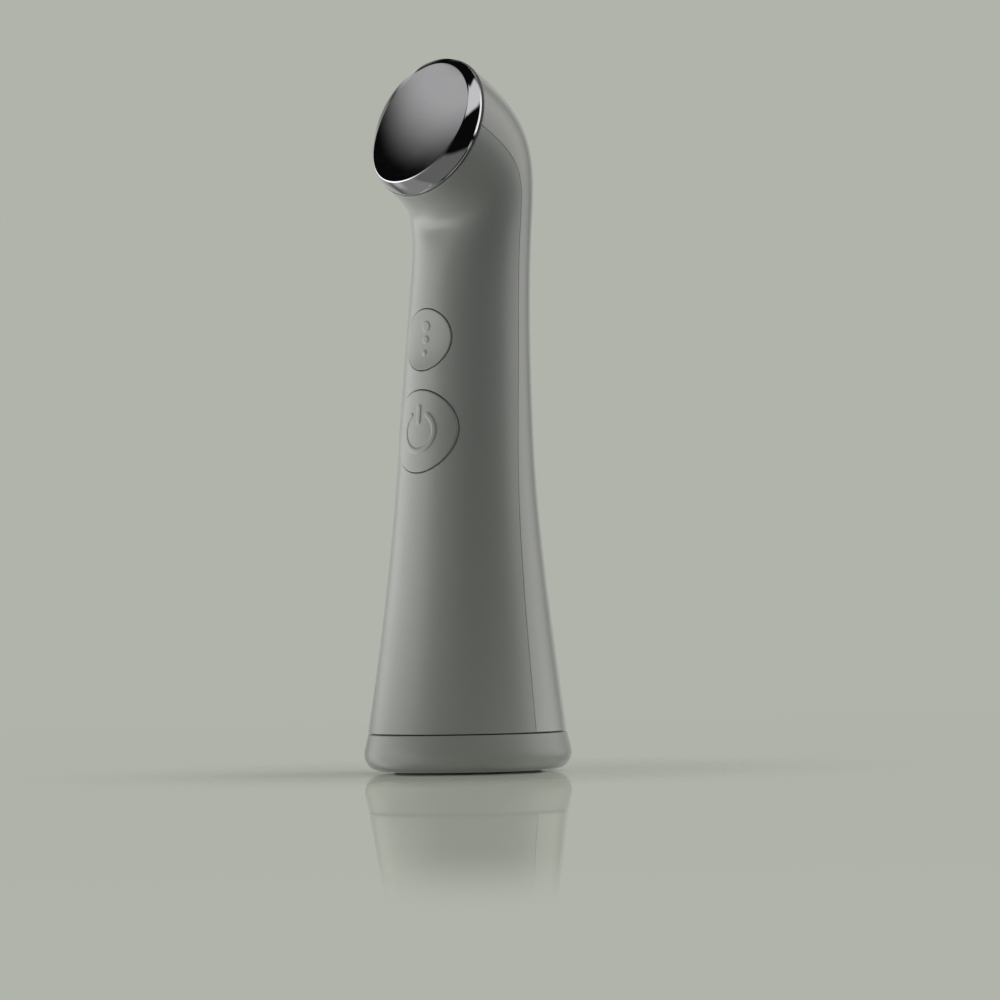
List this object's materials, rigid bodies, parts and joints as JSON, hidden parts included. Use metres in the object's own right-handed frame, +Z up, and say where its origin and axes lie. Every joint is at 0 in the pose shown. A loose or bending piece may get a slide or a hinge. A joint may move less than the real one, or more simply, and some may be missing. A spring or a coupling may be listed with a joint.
{
  "type": "skincare wand",
  "caption": "Upright handheld skincare wand with an angled polished treatment head, round push buttons, a two-half shell and a pull-off base cap.",
  "frame": {"origin": "centre of the foot pad's lower face, on the surface that the wand stands on", "axes": "+Z up along the handle, -Y forward: the buttons and the treatment head face -Y, +X to the right of someone who looks along +Y at the front"},
  "size_m": [0.0436, 0.0436, 0.1498],
  "materials": {
    "pearl_front": "satin pearl silver lacquer",
    "pearl_rear": "glossier pearl silver lacquer",
    "chrome": "mirror polished plating",
    "black_rubber": "matte",
    "black_plastic": "fine texture",
    "grey_plastic": "fine texture",
    "nickel": "nickel plated",
    "steel": "plain steel",
    "cell_sleeve": "printed sleeve, bare",
    "board_green": "solder mask",
    "chip_black": "moulded epoxy",
    "switch_stem": "moulded",
    "weight_metal": "sintered metal",
    "ferrite": "sintered ferrite",
    "heater_ceramic": "fired ceramic",
    "thermal_pad": "soft filled silicone",
    "bead_amber": "resin bead",
    "red_lead": "silicone insulation",
    "black_lead": "silicone insulation"
  },
  "bodies": {
    "base": {"base_cap": "pearl_front", "foot_pad": "black_rubber", "cap_seal": "black_rubber", "contact_holder": "black_plastic", "bridge_contact": "nickel", "lower_cell_spring": "nickel"},
    "wand": {"front_shell": "pearl_front", "rear_shell": "pearl_rear", "battery_tray": "black_plastic", "battery_left": "cell_sleeve", "battery_right": "cell_sleeve", "positive_contact": "nickel", "negative_contact": "nickel", "upper_cell_spring": "nickel", "main_board": "board_green", "board_screw_left": "steel", "board_screw_right": "steel", "board_screw_top": "steel", "power_switch": "chip_black", "mode_switch": "chip_black", "boost_coil": "ferrite", "driver_chip": "chip_black", "controller_chip": "chip_black", "board_capacitor": "steel", "motor_bulkhead": "grey_plastic", "vibration_motor": "steel", "treatment_head": "chrome", "head_gasket": "black_rubber", "head_frame": "black_plastic", "head_screw_left": "steel", "head_screw_right": "steel", "thermal_pad": "thermal_pad", "heater_disc": "heater_ceramic", "thermistor": "bead_amber", "battery_lead_positive": "red_lead", "battery_lead_negative": "black_lead", "motor_lead_positive": "red_lead", "motor_lead_negative": "black_lead", "heater_lead_positive": "red_lead", "heater_lead_negative": "black_lead"},
    "power": {"power_button": "pearl_front", "power_stem": "switch_stem"},
    "mode": {"mode_button": "pearl_front", "mode_stem": "switch_stem"},
    "rotor": {"motor_shaft": "steel", "eccentric_weight": "weight_metal"}
  },
  "joints": [
    {"name": "lift_off_base_cap", "type": "slide", "parent": "base", "child": "wand", "axis": [0, 0, 1], "range_m": [0, 0.025]},
    {"name": "press_power", "type": "slide", "parent": "wand", "child": "power", "axis": [0, 1, 0], "range_m": [0, 0.0005], "stiffness_N_per_m": 600},
    {"name": "press_mode", "type": "slide", "parent": "wand", "child": "mode", "axis": [0, 1, 0], "range_m": [0, 0.0005], "stiffness_N_per_m": 600},
    {"name": "motor_spin", "type": "hinge", "parent": "wand", "child": "rotor", "pos_m": [0, 0.00515, 0.12708], "axis": [0, 0, 1], "continuous": true}
  ]
}
